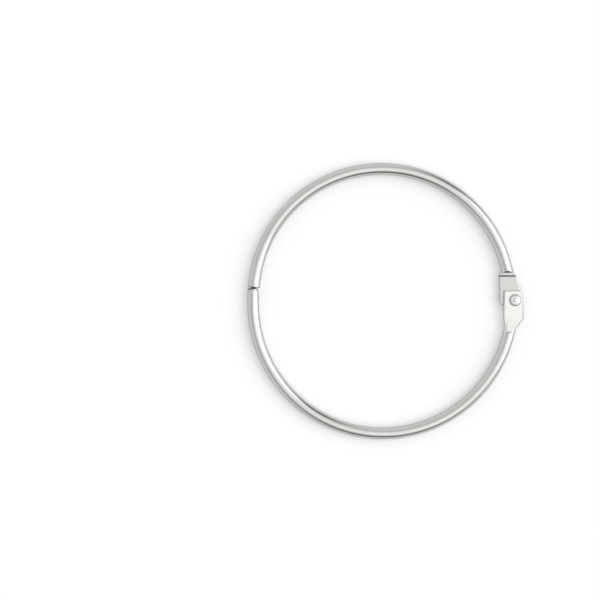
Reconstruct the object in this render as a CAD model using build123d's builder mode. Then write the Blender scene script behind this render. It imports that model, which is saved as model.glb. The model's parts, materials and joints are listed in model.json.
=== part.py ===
from build123d import *
from math import asin, cos, degrees, radians, sin, sqrt, tan
import os

# Hoop: two halves of rolled tube that lie flat, with the loop's centre at the origin, mid-plane at Z = 0.
# The hinge is at +X, the snap joint at -X, the fork half below the X axis and the tongue half above it.
bend_radius = 39.6          # centre line of the fork half's bend
tongue_tuck = 0.4           # how much tighter the tongue half is bent
split_offset = 1.15         # from the X axis to the fork half's bend centre
tube_diameter = 3.5
tube_wall = 0.55

# Hinge ends: the tube pressed flat, into two ears on the fork half and one tongue on the other
hinge_lean = 14.2           # degrees from the Y axis to the tube above the tongue
ear_inset = 0.4             # from the rivet in to the paddle's middle line, which is parallel to Y
ear_width = 6.2             # the paddle at its widest, over the rivet
ear_end_width = 5.5
ear_reach = 2.7             # from the rivet to the straight-cut end
ear_shoulder = 0.9          # from the rivet to where the paddle narrows to its end
ear_run = 5.6               # from the rivet to where the paddle narrows to the tube
ear_taper = 4.0
ear_ramp = 0.6              # step from the pressed flat up to the round tube
tip_rise_share = 0.65       # of the height from the paddle's face to the top of the tube, at the tip
tip_width_share = 0.7       # of the tube's width, where the paddle runs out inside it
ear_corner_radius = 0.7
ear_edge = 0.5              # how far the rounded sides swell past the flats
slot_relief = 0.9           # from the tongue's round end to the root of the slot between the ears
tongue_width = 4.9          # across the land
land_shift = 0.2            # from the stem's middle line in to the middle of the land
tongue_tail_radius = 2.6    # the round end about the rivet
tongue_heel = 4.65          # from the rivet in to the heel, which shows beside the ears
tongue_heel_drop = 0.3      # from the rivet down to the middle of the heel's round
tongue_heel_radius = 1.2
tongue_run = 7.1            # from the rivet up to the foot of the step
tongue_step = 0.55          # slope from the tongue up to the land that crosses it
tongue_land = 0.65
tongue_ramp = 0.7           # slope from the land up to the round tube
tongue_stem = 1.17          # straight tube between the shoulder and the bend
tongue_corner_radius = 0.7
tongue_edge = 0.3           # rounding along the tongue's edges
land_share = 0.46           # of the height between the tongue's face and the top of the tube
leaf_clearance = 0.05       # between each ear and the tongue

# Rivet: a domed head above the upper ear and a flatter tail below the lower one
rivet_diameter = 1.8
rivet_head_diameter = 3.4
rivet_tail_diameter = 3.0
rivet_rim = 0.12
rivet_head_share = 0.92     # of the height between the ear's face and the top of the tube
rivet_tail_share = 0.75
rivet_seat_clearance = 0.02
hinge_clearance = 0.05

# Snap joint: a bulb-ended pin in the tongue half enters the slit mouth of the fork half
snap_height = 3.9           # from the X axis to the tongue half's end
snap_offset = 0.2           # from the socket's axis in to the middle of the tongue half's end
snap_gap = 0.2              # between the two ends where they come closest
mouth_taper = 3.6           # length over which the socket is drawn in to its mouth
mouth_draw = 0.2            # how far its radius is drawn in
mouth_shift = 0.1           # how far the drawn mouth stands outward
lip_share = 0.8             # of the mouth's thinnest wall, bevelled off
lip_length = 0.6            # of the bevel, along the tube
end_break = 0.12
slit_length = 4.2
slit_width = 0.35
relief_diameter = 0.9
pin_seat_clearance = 0.02
pin_socket_clearance = 0.2
pin_shank = 3.5
pin_neck = 1.4
pin_flare = 0.7
pin_land = 0.4              # the bulb's straight part, before its round nose
pin_neck_share = 0.7        # of the bulb's radius

cut_overrun = 1.0

tube_radius = tube_diameter / 2
bore_radius = tube_radius - tube_wall
tongue_half_height = tube_wall
slot_half_height = tongue_half_height + leaf_clearance
ear_half_height = slot_half_height + tube_wall
slot_depth = tongue_tail_radius + slot_relief
land_half_height = tongue_half_height + land_share * (tube_radius - tongue_half_height)
rivet_radius = rivet_diameter / 2

# The tongue half's end lines up with the socket, its bend touches the stem, and the stem leads to the rivet
lean = radians(hinge_lean)
land_foot = tongue_run + tongue_step
land_top = land_foot + tongue_land
ramp_top = land_top + tongue_ramp
tongue_top = (ramp_top + tube_radius * sin(lean)) / cos(lean)
straight_run = tongue_top + tongue_stem
tongue_bend = bend_radius - tongue_tuck
tongue_centre_y = straight_run * cos(lean) - tongue_bend * sin(lean)
snap_lean = asin((snap_height - tongue_centre_y) / tongue_bend)
tongue_centre_x = tongue_bend * cos(snap_lean) + snap_offset - bend_radius
hinge_x = tongue_centre_x + tongue_bend * cos(lean) + straight_run * sin(lean)

socket_top = snap_height - tube_radius * sin(snap_lean) - snap_gap
socket_run = socket_top + split_offset
mouth_radius = tube_radius - mouth_draw


# Plane across the fork half's centre line where its bend has turned by an angle below the X axis
def fork_plane(angle):
    outward = Vector(cos(angle), -sin(angle), 0)
    onward = Vector(-sin(angle), -cos(angle), 0)
    centre = Vector(0, -split_offset, 0)
    return Plane(origin=centre + outward * bend_radius, x_dir=outward, z_dir=onward)


# The same at a depth below the X axis, near the hinge
def fork_plane_at(depth):
    return fork_plane(asin((depth - split_offset) / bend_radius))


# Plane across the paddle's middle line at a depth below the X axis
def ear_plane(depth):
    return Plane(origin=(hinge_x - ear_inset, -depth, 0), x_dir=(1, 0, 0), z_dir=(0, -1, 0))


# Plane across the tongue half's centre line where its bend has turned by an angle above the X axis
def tongue_plane(angle):
    outward = Vector(cos(angle), sin(angle), 0)
    onward = Vector(-sin(angle), cos(angle), 0)
    centre = Vector(tongue_centre_x, tongue_centre_y, 0)
    return Plane(origin=centre + outward * tongue_bend, x_dir=outward, z_dir=onward)


# Plane across the straight stem at a distance from the rivet
def stem_plane(run):
    return tongue_plane(lean).offset(run - straight_run)


# Outline of pressed tube: a flat above and below, joined by sides that swell to the half width
def pressed_outline(half_width, half_height, flat):
    Line((-flat, half_height), (flat, half_height))
    ThreePointArc((flat, half_height), (half_width, 0), (flat, -half_height))
    Line((flat, -half_height), (-flat, -half_height))
    ThreePointArc((-flat, -half_height), (-half_width, 0), (-flat, half_height))


# Outline of the tongue, from the rivet: a band stretched round its tail, its heel and the land's two corners
def tongue_outline():
    for place, radius in tongue_rounds:
        CenterArc(place, radius, 0, 360)


fork_axis = Axis((0, -split_offset, 0), (0, 0, -1))
tongue_axis = Axis((tongue_centre_x, tongue_centre_y, 0), (0, 0, 1))

# Fork half: tube from the socket's mouth round to the hinge, where it is pressed into a pair of ears
ear_tip = ear_run + ear_taper
ear_top = ear_tip + ear_ramp
ear_rise = tip_rise_share * (tube_radius - ear_half_height)
ear_tip_flat = tip_width_share * sqrt(tube_radius**2 - ear_half_height**2)
ear_flat = ear_width / 2 - ear_edge
tip_plane = fork_plane_at(ear_tip)
ear_sections = [
    (tip_plane, tip_width_share * tube_radius, ear_tip_flat),
    (ear_plane(ear_run), ear_width / 2, ear_flat),
    (ear_plane(-ear_reach - cut_overrun), ear_width / 2, ear_flat),
]
ear_plan = Plane(origin=(hinge_x - ear_inset, 0, 0))
tip_angle = asin((ear_tip - split_offset) / bend_radius)
root_run = ear_taper + ear_ramp
root_sink = ear_rise * (root_run + cut_overrun - ear_taper) / ear_taper
root_angle = tip_angle - root_run / bend_radius
bore_turn = 180 - degrees(asin((ear_top - split_offset) / bend_radius))
socket_plane = fork_plane(radians(180))
mouth_centre = (-bend_radius - mouth_shift, socket_top, 0)
lip_bevel = lip_share * (mouth_radius - mouth_shift - bore_radius)
lip_spread = lip_bevel * cut_overrun / lip_length

# The tube starts inside the paddle. Its crown is pressed to a slope that comes up out of the paddle's face
with BuildPart() as fork_tube:
    with BuildSketch(fork_plane(root_angle)):
        Circle(tube_radius)
    revolve(axis=fork_axis, revolution_arc=180 - degrees(root_angle))
    with BuildSketch(Plane(origin=tip_plane.origin, x_dir=tip_plane.z_dir, z_dir=tip_plane.x_dir)):
        with BuildLine():
            Polyline(
                (-root_run - cut_overrun, ear_half_height - root_sink),
                (0, ear_half_height + ear_rise),
                (ear_ramp, tube_radius),
                (ear_ramp, tube_radius + cut_overrun),
                (-root_run - cut_overrun, tube_radius + cut_overrun),
                close=True,
            )
        make_face()
        mirror(about=Plane.XZ)
    extrude(amount=tube_radius + cut_overrun, both=True, mode=Mode.SUBTRACT)
    with BuildSketch(socket_plane):
        Circle(tube_radius)
    extrude(amount=socket_run - mouth_taper)
    with BuildSketch(socket_plane.offset(socket_run - mouth_taper)):
        Circle(tube_radius)
    with BuildSketch(socket_plane.offset(socket_run)):
        with Locations((mouth_shift, 0)):
            Circle(mouth_radius)
    loft(ruled=True)
    with BuildSketch(fork_plane_at(ear_top)):
        Circle(bore_radius)
    revolve(axis=fork_axis, revolution_arc=bore_turn, mode=Mode.SUBTRACT)
    with BuildSketch(socket_plane):
        Circle(bore_radius)
    extrude(amount=socket_run, mode=Mode.SUBTRACT)
    with BuildSketch(Plane(origin=mouth_centre, x_dir=(1, 0, 0), z_dir=(0, 0, 1))):
        with BuildLine():
            Polyline(
                (mouth_radius - lip_bevel - lip_spread, cut_overrun),
                (mouth_radius + lip_spread, cut_overrun),
                (mouth_radius + lip_spread, -lip_length - cut_overrun),
                close=True,
            )
        make_face()
    revolve(axis=Axis(mouth_centre, (0, 1, 0)), mode=Mode.SUBTRACT)
    with BuildSketch(Plane(origin=(-bend_radius, socket_top, 0), x_dir=(0, 1, 0), z_dir=(1, 0, 0))):
        with Locations((cut_overrun, 0)):
            Rectangle(slit_length + cut_overrun, slit_width, align=(Align.MAX, Align.CENTER))
        with Locations((-slit_length, 0)):
            Circle(relief_diameter / 2)
    extrude(amount=tube_radius + cut_overrun, mode=Mode.SUBTRACT)

with BuildPart() as fork_half:
    for plane, half_width, flat in ear_sections:
        with BuildSketch(plane):
            with BuildLine():
                pressed_outline(half_width, ear_half_height, flat)
            make_face()
    loft(ruled=True)
    with BuildSketch(ear_plan) as ear_trim:
        with Locations((0, ear_shoulder)):
            Rectangle(
                ear_width + cut_overrun,
                ear_reach + cut_overrun,
                align=(Align.CENTER, Align.MIN),
            )
        with BuildLine():
            Polyline(
                (-ear_width / 2, ear_shoulder),
                (-ear_end_width / 2, ear_reach),
                (ear_end_width / 2, ear_reach),
                (ear_width / 2, ear_shoulder),
                close=True,
            )
        make_face(mode=Mode.SUBTRACT)
        fillet(ear_trim.vertices().sort_by_distance((0, ear_reach))[:2], radius=ear_corner_radius)
    extrude(amount=ear_half_height + cut_overrun, both=True, mode=Mode.SUBTRACT)
    add(fork_tube.part)

    with BuildSketch(ear_plan):
        with Locations((0, -slot_depth)):
            Rectangle(
                ear_width + cut_overrun,
                slot_depth + ear_reach + cut_overrun,
                align=(Align.CENTER, Align.MIN),
            )
    extrude(amount=slot_half_height, both=True, mode=Mode.SUBTRACT)
    with BuildSketch(Plane.XY):
        with Locations((hinge_x, 0)):
            Circle(rivet_radius + rivet_seat_clearance)
    extrude(amount=ear_half_height + cut_overrun, both=True, mode=Mode.SUBTRACT)
fork_half.part.label = "fork_half"

# Tongue half: tube from its square-cut end round to the hinge, where a shoulder drops to one flat tongue
tongue_plan = Plane(origin=(hinge_x, 0, 0))
land_x = -land_top * tan(lean) - land_shift
corner_x = tongue_width / 2 - tongue_corner_radius
corner_y = land_top - tongue_corner_radius
tongue_rounds = [
    ((0, 0), tongue_tail_radius),
    ((tongue_heel_radius - tongue_heel, -tongue_heel_drop), tongue_heel_radius),
    ((land_x - corner_x, corner_y), tongue_corner_radius),
    ((land_x + corner_x, corner_y), tongue_corner_radius),
]
tongue_turn = 180 - degrees(snap_lean) - hinge_lean
pin_plane = tongue_plane(radians(180) - snap_lean)
pin_plan = Plane(origin=pin_plane.origin, x_dir=pin_plane.x_dir, z_dir=(0, 0, 1))
pin_axis = Axis(pin_plane.origin, pin_plane.z_dir)

with BuildPart() as tongue_plate:
    with BuildSketch(tongue_plan):
        with BuildLine():
            tongue_outline()
        make_hull()
    extrude(amount=tongue_half_height, both=True)
    fillet(tongue_plate.faces().filter_by(Axis.Z).edges(), radius=tongue_edge)

with BuildPart() as tongue_half:
    with BuildSketch(tongue_plan):
        with BuildLine():
            tongue_outline()
        make_hull()
        with Locations((land_x, tongue_run)):
            Rectangle(
                tongue_width + tongue_heel,
                land_top,
                align=(Align.CENTER, Align.MIN),
                mode=Mode.INTERSECT,
            )
    extrude(amount=land_half_height, both=True)
    with BuildSketch(stem_plane(tongue_run)):
        Circle(tube_radius)
    extrude(amount=straight_run - tongue_run)
    with BuildSketch(stem_plane(straight_run)):
        Circle(tube_radius)
    revolve(axis=tongue_axis, revolution_arc=tongue_turn)
    with BuildSketch(Plane(origin=(hinge_x, 0, 0), x_dir=(0, 1, 0), z_dir=(1, 0, 0))):
        with BuildLine():
            Polyline(
                (0, tongue_half_height),
                (tongue_run, tongue_half_height),
                (land_foot, land_half_height),
                (land_top, land_half_height),
                (ramp_top, tube_radius),
                (ramp_top, tube_radius + cut_overrun),
                (0, tube_radius + cut_overrun),
                close=True,
            )
        make_face()
        mirror(about=Plane.XZ)
    extrude(amount=tongue_heel + tongue_width, both=True, mode=Mode.SUBTRACT)
    add(tongue_plate.part)
    with BuildSketch(stem_plane(tongue_top)):
        Circle(bore_radius)
    extrude(amount=tongue_stem, mode=Mode.SUBTRACT)
    with BuildSketch(stem_plane(straight_run)):
        Circle(bore_radius)
    revolve(axis=tongue_axis, revolution_arc=tongue_turn, mode=Mode.SUBTRACT)
    with BuildSketch(pin_plan):
        with BuildLine():
            Polyline(
                (tube_radius - end_break - cut_overrun, cut_overrun),
                (tube_radius + cut_overrun, cut_overrun),
                (tube_radius + cut_overrun, -end_break - cut_overrun),
                close=True,
            )
        make_face()
    revolve(axis=pin_axis, mode=Mode.SUBTRACT)

    with BuildSketch(Plane.XY):
        with Locations((hinge_x, 0)):
            Circle(rivet_radius + hinge_clearance)
    extrude(amount=tongue_half_height + cut_overrun, both=True, mode=Mode.SUBTRACT)
tongue_half.part.label = "tongue_half"

# Hinge rivet: one turned profile, seated on the outer faces of both ears
head_height = rivet_head_share * (tube_radius - ear_half_height)
tail_height = rivet_tail_share * (tube_radius - ear_half_height)
head_radius = rivet_head_diameter / 2
tail_radius = rivet_tail_diameter / 2

with BuildPart() as hinge_rivet:
    with BuildSketch(Plane(origin=(hinge_x, 0, 0), x_dir=(1, 0, 0), z_dir=(0, -1, 0))):
        with BuildLine():
            TangentArc(
                (0, ear_half_height + head_height),
                (head_radius, ear_half_height + rivet_rim),
                tangent=(1, 0),
            )
            Polyline(
                (head_radius, ear_half_height + rivet_rim),
                (head_radius, ear_half_height),
                (rivet_radius, ear_half_height),
                (rivet_radius, -ear_half_height),
                (tail_radius, -ear_half_height),
                (tail_radius, -ear_half_height - rivet_rim),
            )
            TangentArc(
                (0, -ear_half_height - tail_height),
                (tail_radius, -ear_half_height - rivet_rim),
                tangent=(1, 0),
            )
            Line((0, -ear_half_height - tail_height), (0, ear_half_height + head_height))
        make_face()
    revolve(axis=Axis((hinge_x, 0, 0), (0, 0, 1)))
hinge_rivet.part.label = "hinge_rivet"

# Snap pin: a shank that follows the bend inside the tongue half's end, then a neck and a bulb that stand out
shank_radius = bore_radius - pin_seat_clearance
bulb_radius = bore_radius - pin_socket_clearance
neck_radius = pin_neck_share * bulb_radius
bulb_start = pin_neck + pin_flare
nose_start = bulb_start + pin_land

with BuildPart() as snap_pin:
    with BuildSketch(pin_plane):
        Circle(shank_radius)
    revolve(axis=-tongue_axis, revolution_arc=degrees(pin_shank / tongue_bend))
    with BuildSketch(pin_plan):
        with BuildLine():
            TangentArc((0, nose_start + bulb_radius), (bulb_radius, nose_start), tangent=(1, 0))
            Polyline(
                (bulb_radius, nose_start),
                (bulb_radius, bulb_start),
                (neck_radius, pin_neck),
                (neck_radius, 0),
                (0, 0),
                (0, nose_start + bulb_radius),
            )
        make_face()
    revolve(axis=pin_axis)
snap_pin.part.label = "snap_pin"

os.makedirs("parts", exist_ok=True)
for piece in (fork_half, tongue_half, hinge_rivet, snap_pin):
    export_step(piece.part, f"parts/{piece.part.label}.step")
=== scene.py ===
import json

import bpy
import numpy as np
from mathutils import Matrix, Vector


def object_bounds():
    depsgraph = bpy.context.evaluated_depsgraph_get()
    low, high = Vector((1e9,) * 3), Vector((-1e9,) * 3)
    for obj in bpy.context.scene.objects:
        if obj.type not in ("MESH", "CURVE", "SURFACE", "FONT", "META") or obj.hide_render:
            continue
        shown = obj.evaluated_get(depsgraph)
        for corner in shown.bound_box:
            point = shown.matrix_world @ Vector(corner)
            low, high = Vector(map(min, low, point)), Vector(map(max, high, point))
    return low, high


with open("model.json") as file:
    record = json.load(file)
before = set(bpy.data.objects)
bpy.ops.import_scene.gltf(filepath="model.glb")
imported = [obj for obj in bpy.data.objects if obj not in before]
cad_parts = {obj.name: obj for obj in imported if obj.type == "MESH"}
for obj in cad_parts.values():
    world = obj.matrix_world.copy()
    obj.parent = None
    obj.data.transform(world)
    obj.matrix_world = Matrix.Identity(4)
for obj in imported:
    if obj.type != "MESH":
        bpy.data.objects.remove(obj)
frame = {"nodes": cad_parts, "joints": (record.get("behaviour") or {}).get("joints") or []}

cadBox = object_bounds()
scene = bpy.context.scene
scene.view_settings.view_transform = "Standard"
mm = 0.001
hingeX = float(frame["joints"][0]["pos_m"][0]) / mm
print("frame loaded:", sorted(frame["nodes"]))


# A socket that can stand in a sum: each operator adds one Math node to the tree
class Sock:
    def __init__(self, tree, socket=None):
        self.tree = tree
        self.socket = socket

    def node(self, kind, settings=None, sockets=None, out=0):
        made = self.tree.nodes.new(kind)
        for name, value in (settings or {}).items():
            setattr(made, name, value)
        for name, value in (sockets or {}).items():
            if isinstance(value, Sock):
                self.tree.links.new(value.socket, made.inputs[name])
            else:
                made.inputs[name].default_value = value
        return Sock(self.tree, made.outputs[out] if made.outputs else None)

    def maths(self, operation, *values):
        return self.node("ShaderNodeMath", {"operation": operation}, dict(enumerate(values)))

    def __add__(self, other):
        return self.maths("ADD", self, other)

    def __sub__(self, other):
        return self.maths("SUBTRACT", self, other)

    def __mul__(self, other):
        return self.maths("MULTIPLY", self, other)

    def __truediv__(self, other):
        return self.maths("DIVIDE", self, other)

    def __pow__(self, other):
        return self.maths("POWER", self, other)

    def __rsub__(self, other):
        return self.maths("SUBTRACT", other, self)

    def __abs__(self):
        return self.maths("ABSOLUTE", self)

    __radd__ = __add__
    __rmul__ = __mul__

    # The larger of two numbers
    def atLeast(self, other):
        return self.maths("MAXIMUM", self, other)

    # 0 below low, 1 above high, smooth between them
    def ease(self, low, high):
        settings = {"interpolation_type": "SMOOTHSTEP"}
        sockets = {"Value": self, "From Min": low, "From Max": high}
        return self.node("ShaderNodeMapRange", settings, sockets)

    # Fractal noise about 0 at a place, or along a line when the place is a number
    def noise(self, scale, detail, line=False):
        settings = {"noise_dimensions": "1D" if line else "3D"}
        sockets = {"W" if line else "Vector": self, "Scale": scale, "Detail": detail}
        return self.node("ShaderNodeTexNoise", settings, sockets) - 0.5


# Distance from the rivet's axis, in mm
def fromRivet(x, y):
    return ((x - hingeX) ** 2 + y ** 2) ** 0.5


# Square end of the tongue half at the snap joint: its middle in mm and its lean in degrees
snapEnd = dict(middle=(-39.4, 3.9), lean=4.318)


# Distance into the tongue half from its square end
def fromSnapEnd(x, y):
    lean = np.radians(snapEnd["lean"])
    middleX, middleY = snapEnd["middle"]
    return float(np.sin(lean)) * (x - middleX) + float(np.cos(lean)) * (y - middleY)


# Studio: a grey room with lobes of light and shade, each an azimuth and height in degrees,
# the cosines where it starts and where it is full, and its gain
studio = dict(
    room=0.82,
    tint=(1.0, 0.998, 0.994),
    lobes=dict(
        key=(12, 29, 0.80, 0.89, 1.6),
        fill=(326, 64, 0.60, 1.0, 0.92),
        foot=(305, 42, -0.11, 1.0, -0.38),
        side=(40, 5, 0.74, 1.0, -1.05),
        front=(272, 3, 0.55, 1.0, -0.3),
        top=(0, 90, 0.5, 1.0, -0.07),
    ),
)


def makeStudio():
    world = bpy.data.worlds.new("studio")
    world.use_nodes = True
    world.node_tree.nodes.clear()
    scene.world = world
    start = Sock(world.node_tree)
    direction = start.node("ShaderNodeTexCoord", out=0)
    level = studio["room"]
    for azimuth, height, low, high, gain in studio["lobes"].values():
        a, h = np.radians((azimuth, height))
        towards = (float(np.cos(h) * np.cos(a)), float(np.cos(h) * np.sin(a)), float(np.sin(h)))
        dot = {"operation": "DOT_PRODUCT"}
        facing = start.node("ShaderNodeVectorMath", dot, {0: direction, 1: towards}, out=1)
        level = level + gain * facing.ease(low, high)
    sockets = {"Color": (*studio["tint"], 1), "Strength": level.atLeast(0.0)}
    background = start.node("ShaderNodeBackground", None, sockets)
    start.node("ShaderNodeOutputWorld", None, {"Surface": background})


# White sheet, in metres; the glow is how much of it shows lit from behind, which keeps its shadows light
floor = dict(size=6.0, colour=(0.99, 0.99, 0.99), roughness=0.9, glow=0.15)


def makeFloor():
    low = cadBox[0][2]
    half = floor["size"] / 2
    corners = [(-half, -half, low), (half, -half, low), (half, half, low), (-half, half, low)]
    mesh = bpy.data.meshes.new("floor")
    mesh.from_pydata(corners, [], [(0, 1, 2, 3)])
    made = bpy.data.objects.new("floor", mesh)
    scene.collection.objects.link(made)
    material = bpy.data.materials.new("paleFloor")
    material.use_nodes = True
    material.node_tree.nodes.clear()
    start = Sock(material.node_tree)
    matt = start.node("ShaderNodeBsdfPrincipled", None, {
        "Base Color": (*floor["colour"], 1),
        "Roughness": floor["roughness"],
        "Specular IOR Level": 0.0,
    })
    lit = start.node("ShaderNodeEmission", None, {"Strength": 1.0})
    path = start.node("ShaderNodeLightPath").socket.node
    kinds = ("Is Camera Ray", "Is Glossy Ray", "Is Transmission Ray")
    eye, gloss, glass = [Sock(start.tree, path.outputs[kind]) for kind in kinds]
    seen = eye.atLeast(gloss.atLeast(glass))
    shader = start.node("ShaderNodeMixShader", None, {0: floor["glow"] * seen, 1: matt, 2: lit})
    start.node("ShaderNodeOutputMaterial", None, {"Surface": shader})
    mesh.materials.append(material)


# Camera straight above a point of the floor, with the width that it takes in, all in metres
camera = dict(height=0.7, across=0.1835, lookAt=(-0.0253, 0.00005))


def makeCamera():
    data = bpy.data.cameras.new("camera")
    data.lens = data.sensor_width * camera["height"] / camera["across"]
    made = bpy.data.objects.new("camera", data)
    made.location = (*camera["lookAt"], camera["height"])
    scene.collection.objects.link(made)
    scene.camera = made


# An empty material, with the place in metres and its three axes in mm
def startMaterial(name):
    material = bpy.data.materials.new(name)
    material.use_nodes = True
    material.node_tree.nodes.clear()
    start = Sock(material.node_tree)
    place = start.node("ShaderNodeTexCoord", out=3)
    split = start.node("ShaderNodeSeparateXYZ", None, {0: place}).socket.node
    axes = [Sock(start.tree, output) / mm for output in split.outputs]
    return material, start, place, axes


# Metal whose tone scales its colour; the height in units of the relief makes the bump. The edge tint
# dulls the plate where it turns away from the eye
def finishMaterial(start, look, tone, rough, height):
    scale = {"operation": "SCALE"}
    colour = start.node("ShaderNodeVectorMath", scale, {0: look["colour"], "Scale": tone})
    relief = {"Strength": 1.0, "Distance": look["relief"] * mm, "Height": height}
    bump = start.node("ShaderNodeBump", None, relief)
    shader = start.node("ShaderNodeBsdfPrincipled", None, {
        "Base Color": colour,
        "Metallic": 1.0,
        "Roughness": rough,
        "Specular Tint": (*look["edge"], 1),
        "Normal": bump,
    })
    start.node("ShaderNodeOutputMaterial", None, {"Surface": shader})


# Nickel plate on the two halves. The relief and the tube's radius are in mm, and the bore and the seam in
# shares of that radius. Clouds, waves and pits are cells to a metre, and the drawn lines are cells to a
# radius across the tube and to a radian along it. The last three rows say how much each shows
plate = dict(
    colour=(0.63, 0.624, 0.612),
    edge=(0.25, 0.25, 0.25),
    roughness=0.18,
    relief=0.007,
    tube=1.75,
    bore=(0.72, 0.80),
    seam=(0.015, 0.06),
    seamSide=(-0.9, -0.6),
    drawn=(9, 5),
    cloud=170.0,
    wave=420.0,
    pits=1500.0,
    pitSize=(0.05, 0.16),
    pitCloud=(0.0, 0.12),
    tone=dict(cloud=0.10, drawn=0.14, bore=0.6, seam=0.35, pit=0.3),
    rough=dict(cloud=0.10, drawn=0.12, bore=0.2, paintedShade=0.15, pit=0.1),
    height=dict(wave=0.5, drawn=0.3, pit=0.8, seam=1.0),
)

# Fork half, in mm: its bend, how far from the split it is pressed flat, and the painted shade round the
# rivet's head and on the socket's lip, which reaches lower on the outside
fork = dict(
    side=-1,
    centre=(0.0, -1.15),
    bend=39.6,
    pressed=(8.2, 8.7),
    pressedTone=1.18,
    pressedRough=0.26,
    rivetShade=dict(fall=(1.72, 2.0), dark=0.55),
    lipShade=dict(rise=(3.28, 3.44), lean=0.16, dark=0.88),
)


# Painted shade on the fork half: a dark ring round the rivet's head on the hinge side, and a darker socket
# lip at the snap joint
def forkPaintedShade(x, y, hingeSide):
    shade = fork["rivetShade"]
    corner = shade["dark"] * (1 - fromRivet(x, y).ease(*shade["fall"]))
    shade = fork["lipShade"]
    upLip = y - shade["lean"] * (x + fork["bend"])
    lip = shade["dark"] * upLip.ease(*shade["rise"])
    return corner * hingeSide + lip * (1 - hingeSide)


# Tongue half, in mm: the same, with the ears' middle, half width and end from the rivet, the painted shade
# along their outline, and the painted shade at the square end, which is weaker on the outside
tongue = dict(
    side=1,
    centre=(-0.311, 0.947),
    bend=39.2,
    pressed=(7.3, 7.9),
    pressedTone=0.95,
    pressedRough=0.38,
    ears=(-0.4, 3.1, 2.7),
    earShade=dict(rise=(-0.25, 0.0), fall=(0.05, 0.45), dark=0.35),
    endShade=dict(fall=(0.1, 0.32), outside=(-41.0, -40.0), weaker=0.3, dark=0.8),
)


# Painted shade on the tongue half: a dark band along the ears' outline by the rivet, and a darker square
# end at the snap joint
def tonguePaintedShade(x, y, hingeSide):
    middle, halfWidth, reach = tongue["ears"]
    shade = tongue["earShade"]
    past = (abs(x - (hingeX + middle)) - halfWidth).atLeast(y - reach)
    outline = shade["dark"] * past.ease(*shade["rise"]) * (1 - past.ease(*shade["fall"]))
    shade = tongue["endShade"]
    even = 1 - shade["weaker"] * (1 - x.ease(*shade["outside"]))
    end = shade["dark"] * (1 - fromSnapEnd(x, y).ease(*shade["fall"])) * even
    return outline * hingeSide + end * (1 - hingeSide)


def makePlate(name, half, paintedShadeOf):
    material, start, place, (x, y, z) = startMaterial(name)
    dx = x - half["centre"][0]
    dy = half["side"] * (y - half["centre"][1])         # grows from the split to the middle of the half
    bent = dy.atLeast(0.0)                              # the tube runs on straight past the split
    u = ((dx * dx + bent * bent) ** 0.5 - half["bend"]) / plate["tube"]
    v = z / plate["tube"]                               # u and v are on the unit circle all round the tube
    sweep = dx.maths("ARCTAN2", dx, dy)
    hingeSide = x.ease(0.0, 1.0)
    pressed = hingeSide * (1 - dy.ease(*half["pressed"]))
    tubular = 1 - pressed
    across, along = plate["drawn"]
    lines = start.node("ShaderNodeCombineXYZ", None, {0: across * u, 1: across * v, 2: along * sweep})
    drawn = lines.noise(1.0, 3.0)
    cloud = place.noise(plate["cloud"], 2.0)
    wave = place.noise(plate["wave"], 1.0)
    cells = start.node("ShaderNodeTexVoronoi", None, {"Vector": place, "Scale": plate["pits"]})
    pit = (1 - cells.ease(*plate["pitSize"])) * cloud.ease(*plate["pitCloud"])
    bore = (1 - ((u * u + v * v) ** 0.5).ease(*plate["bore"])) * tubular
    seam = (1 - abs(v).ease(*plate["seam"])) * (1 - u.ease(*plate["seamSide"])) * tubular
    # Painted shade from the half's own function darkens the plate round the rivet, along the ears and at
    # the snap joint, and makes it rougher there
    paintedShade = paintedShadeOf(x, y, hingeSide)
    by = plate["tone"]
    tone = 1 + by["cloud"] * cloud + by["drawn"] * drawn + (half["pressedTone"] - 1) * pressed
    tone = tone * (1 - by["bore"] * bore) * (1 - by["seam"] * seam) * (1 - paintedShade) * (1 - by["pit"] * pit)
    by = plate["rough"]
    rough = plate["roughness"] + (half["pressedRough"] - plate["roughness"]) * pressed
    rough = rough + by["cloud"] * cloud + by["drawn"] * drawn
    rough = rough + by["bore"] * bore + by["paintedShade"] * paintedShade + by["pit"] * pit
    by = plate["height"]
    height = by["wave"] * wave + by["drawn"] * drawn - by["pit"] * pit - by["seam"] * seam
    finishMaterial(start, plate, tone, rough, height)
    return material


# Turned metal: lines are cells to a mm of the distance and clouds are cells to a metre; a painted shade
# darkens it and makes it rougher
turning = dict(lines=14.0, cloud=600.0)


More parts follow.
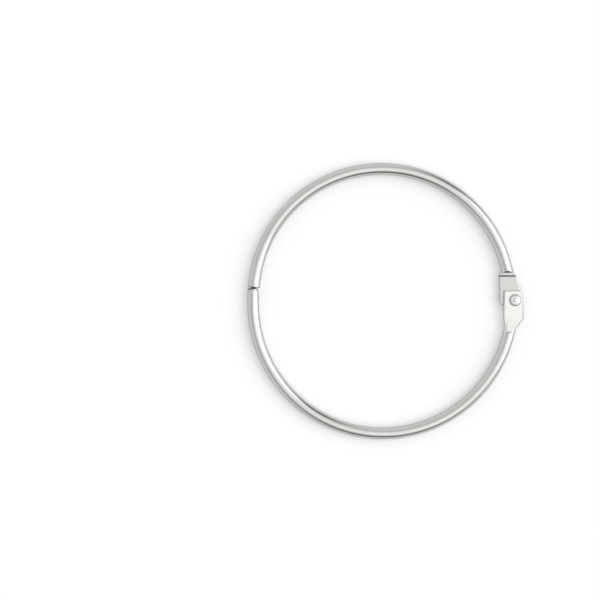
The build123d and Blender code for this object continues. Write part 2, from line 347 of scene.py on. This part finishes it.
def finishTurned(start, place, look, distance, shade, raised=0.0):
    turned = distance.noise(turning["lines"], 2.0, line=True)
    cloud = place.noise(turning["cloud"], 2.0)
    by = look["tone"]
    tone = (1 + by["lines"] * turned + by["cloud"] * cloud) * (1 - by["shade"] * shade)
    by = look["rough"]
    rough = look["roughness"] + by["lines"] * turned + by["cloud"] * cloud + by["shade"] * shade
    finishMaterial(start, look, tone, rough, turned + cloud + raised)


# Rivet, in mm: turned round its axis, with painted shade on its rim and the shallow ring that the forming
# tool leaves
rivet = dict(
    colour=(0.72, 0.714, 0.702),
    edge=(0.5, 0.5, 0.5),
    roughness=0.3,
    relief=0.004,
    rim=(1.4, 1.62),
    ring=(0.35, 0.75, 1.2),
    ringDepth=0.1,
    tone=dict(lines=0.15, cloud=0.12, shade=0.5),
    rough=dict(lines=0.12, cloud=0.08, shade=0.1),
)


def makeRivet():
    material, start, place, (x, y, _) = startMaterial("rivetPlate")
    fromAxis = fromRivet(x, y)
    inner, middle, outer = rivet["ring"]
    ring = fromAxis.ease(inner, middle) * (1 - fromAxis.ease(middle, outer))
    raised = -rivet["ringDepth"] / rivet["relief"] * ring
    # The rim's painted shade darkens the head's edge and makes it rougher
    finishTurned(start, place, rivet, fromAxis, fromAxis.ease(*rivet["rim"]), raised)
    return material


# Snap pin, in mm from the end of the tongue half: turned across its axis, darkened by painted shade and
# rougher at the neck's root
pin = dict(
    colour=(0.61, 0.604, 0.592),
    edge=(0.25, 0.25, 0.25),
    roughness=0.24,
    relief=0.004,
    root=(0.3, 1.1),
    tone=dict(lines=0.2, cloud=0.12, shade=0.8),
    rough=dict(lines=0.15, cloud=0.08, shade=0.2),
)


def makePin():
    material, start, place, (x, y, _) = startMaterial("pinPlate")
    alongPin = -1 * fromSnapEnd(x, y)
    # Painted shade darkens the neck's root inside the snap joint
    finishTurned(start, place, pin, alongPin, 1 - alongPin.ease(*pin["root"]))
    return material


makeStudio()
makeFloor()
makeCamera()
print("stage set")
looks = {
    "fork_half": makePlate("forkPlate", fork, forkPaintedShade),
    "tongue_half": makePlate("tonguePlate", tongue, tonguePaintedShade),
    "hinge_rivet": makeRivet(),
    "snap_pin": makePin(),
}
for name, node in frame["nodes"].items():
    node.data.materials.clear()
    node.data.materials.append(looks[name])
print("materials set")
